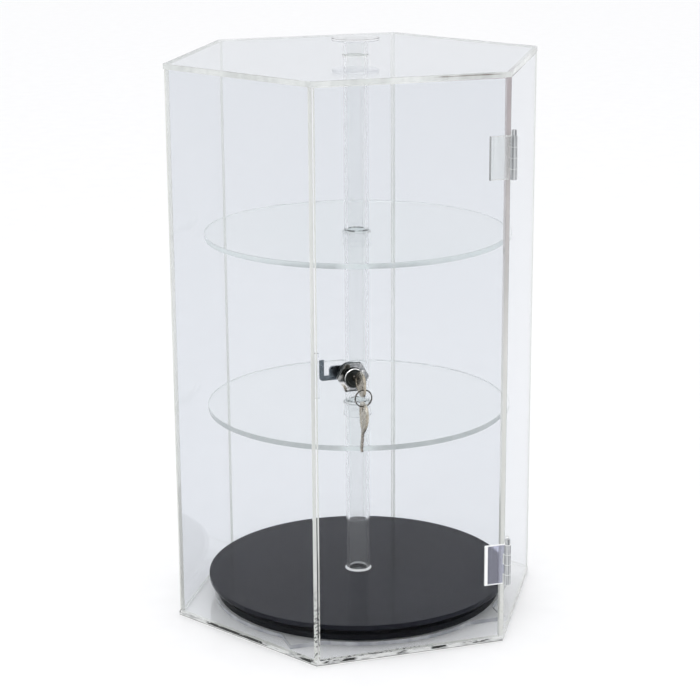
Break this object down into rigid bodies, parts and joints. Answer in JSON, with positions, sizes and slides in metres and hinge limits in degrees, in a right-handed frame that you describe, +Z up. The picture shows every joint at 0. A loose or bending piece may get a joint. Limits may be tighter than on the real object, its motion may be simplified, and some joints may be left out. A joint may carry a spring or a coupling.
{
  "type": "revolving display showcase",
  "caption": "Tall hexagonal clear showcase with a hinged key-locked door and a turntable tower of round shelves turned by a knob on top.",
  "frame": {"origin": "centre of the hexagonal floor's underside, on the axis the tower turns about", "axes": "+Z up along the tower's axis; -Y is the door's side; +X is the hinge side, with two of the six corners on the X axis"},
  "size_m": [0.3442, 0.3404, 0.52],
  "materials": {
    "clear_acrylic": "clear, polished faces, bright and dark sawn edges",
    "clear_hinge": "clear moulded plastic",
    "hinge_pin": "clear to milky moulded plastic",
    "black_plastic": "black, satin sheen",
    "black_race": "black, matt",
    "bearing_steel": "polished steel",
    "cage_plastic": "natural off-white",
    "lock_chrome": "bright plated",
    "lock_core": "dark face with fine turning lines",
    "cam_steel": "blue-grey zinc-plated",
    "key_nickel": "warm nickel-plated, slightly dull",
    "ring_wire": "dark spring wire"
  },
  "bodies": {
    "case": {"bottom_panel": "clear_acrylic", "panel_right_front": "clear_acrylic", "panel_right_back": "clear_acrylic", "panel_back": "clear_acrylic", "panel_left_back": "clear_acrylic", "panel_left_front": "clear_acrylic", "top_panel": "clear_acrylic", "lock_keeper": "clear_acrylic", "hinge_lower_case_leaf": "clear_hinge", "hinge_lower_pin": "hinge_pin", "hinge_upper_case_leaf": "clear_hinge", "hinge_upper_pin": "hinge_pin", "turntable_base_plate": "clear_acrylic", "bearing_lower_race": "black_race"},
    "door": {"door_panel": "clear_acrylic", "hinge_lower_door_leaf": "clear_hinge", "hinge_upper_door_leaf": "clear_hinge", "lock_barrel": "lock_chrome", "lock_nut": "lock_chrome"},
    "lock_core": {"lock_plug": "lock_core", "lock_cam": "cam_steel", "lock_cam_screw": "cam_steel"},
    "key": {"lock_key": "key_nickel"},
    "split_ring": {"key_ring": "ring_wire"},
    "spare": {"spare_key": "key_nickel"},
    "tower": {"turntable_disc": "black_plastic", "bearing_upper_race": "black_race", "tower_post": "clear_acrylic", "shelf_collar_middle": "clear_acrylic", "shelf_middle": "clear_acrylic", "shelf_collar_upper": "clear_acrylic", "shelf_upper": "clear_acrylic", "tower_knob": "clear_acrylic"},
    "ball_train": {"bearing_balls": "bearing_steel", "bearing_cage": "cage_plastic"}
  },
  "joints": [
    {"name": "tower_spin", "type": "hinge", "parent": "case", "child": "tower", "pos_m": [0, 0, 0.0217], "axis": [0, 0, 1], "continuous": true},
    {"name": "ball_orbit", "type": "hinge", "parent": "case", "child": "ball_train", "pos_m": [0, 0, 0.0151], "axis": [0, 0, 1], "continuous": true},
    {"name": "door_swing", "type": "hinge", "parent": "case", "child": "door", "pos_m": [0.08799, -0.1524, 0.2525], "axis": [0, 0, 1], "range_deg": [0, 150]},
    {"name": "lock_turn", "type": "hinge", "parent": "door", "child": "lock_core", "pos_m": [-0.0527, -0.149, 0.2584], "axis": [0, 1, 0], "range_deg": [-25, 65]},
    {"name": "key_slide", "type": "slide", "parent": "lock_core", "child": "key", "axis": [0, -1, 0], "range_m": [0, 0.021]},
    {"name": "ring_swing", "type": "hinge", "parent": "key", "child": "split_ring", "pos_m": [-0.0527, -0.18, 0.2551], "axis": [1, 0, 0], "range_deg": [-35, 12]},
    {"name": "spare_swing", "type": "hinge", "parent": "split_ring", "child": "spare", "pos_m": [-0.0527, -0.18, 0.2409], "axis": [1, 0, 0], "range_deg": [-15, 12]}
  ],
  "couplings": [
    {"joint": "ball_orbit", "follows": "tower_spin", "ratio": 0.5}
  ]
}
